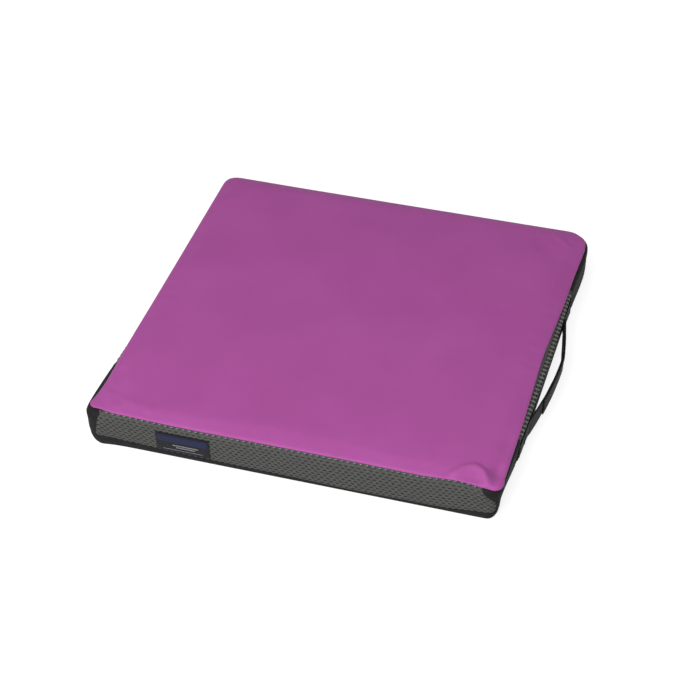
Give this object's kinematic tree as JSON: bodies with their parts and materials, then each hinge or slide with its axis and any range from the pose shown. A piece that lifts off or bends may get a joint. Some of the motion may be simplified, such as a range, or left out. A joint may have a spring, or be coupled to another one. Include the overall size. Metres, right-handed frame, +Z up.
{
  "type": "seat cushion",
  "caption": "Square foam seat cushion in a zipped cover with a smooth stretch top, mesh borders, non-slip base and a side carry handle.",
  "frame": {"origin": "centre of the cushion's underside, where it rests", "axes": "+Z up out of the seating face, -Y towards the front border with the label, +X towards the carry handle"},
  "size_m": [0.4381, 0.426, 0.046],
  "materials": {
    "purple_stretch": "smooth matt coated stretch knit",
    "grey_spacer_mesh": "grey open spacer mesh",
    "black_polyester": "matt black woven polyester",
    "base_fabric": "matt black woven polyester with non-slip dots",
    "label_woven": "woven satin label",
    "zip_tape": "black knitted zip tape",
    "zip_coil": "black moulded coil",
    "zip_metal": "satin black enamel",
    "webbing": "black woven polyester webbing",
    "thread_black": "black bonded thread",
    "foam_firm": "open-cell resilient foam",
    "foam_soft": "open-cell slow-recovery foam"
  },
  "bodies": {
    "cushion": {"top_panel": "purple_stretch", "front_mesh_panel": "grey_spacer_mesh", "right_mesh_panel": "grey_spacer_mesh", "left_mesh_panel": "grey_spacer_mesh", "front_left_corner": "black_polyester", "front_right_corner": "black_polyester", "rear_right_corner": "black_polyester", "rear_left_corner": "black_polyester", "rear_upper_border": "black_polyester", "rear_lower_border": "black_polyester", "base_panel": "base_fabric", "label": "label_woven", "zip_tape_upper": "zip_tape", "zip_tape_lower": "zip_tape", "zip_coil_upper": "zip_coil", "zip_coil_lower": "zip_coil", "zip_stops": "zip_metal", "zip_end_tabs": "black_polyester", "handle_end_front": "webbing", "handle_end_rear": "webbing", "handle_tacks": "thread_black", "foam_base": "foam_firm", "foam_topper": "foam_soft"},
    "carry_handle": {"handle_loop": "webbing"},
    "slider": {"zip_slider": "zip_metal"},
    "pull_tab": {"zip_pull_tab": "zip_metal"}
  },
  "joints": [
    {"name": "handle_swing", "type": "hinge", "parent": "cushion", "child": "carry_handle", "pos_m": [0.2125, -0.006, 0.0215], "axis": [0, 1, 0], "range_deg": [-38, 38]},
    {"name": "zip_travel", "type": "slide", "parent": "cushion", "child": "slider", "axis": [-1, 0, 0], "range_m": [0, 0.319]},
    {"name": "pull_tab_turn", "type": "hinge", "parent": "slider", "child": "pull_tab", "pos_m": [0.1595, 0.21335, 0.024], "axis": [0, 0, -1], "range_deg": [0, 178]}
  ]
}
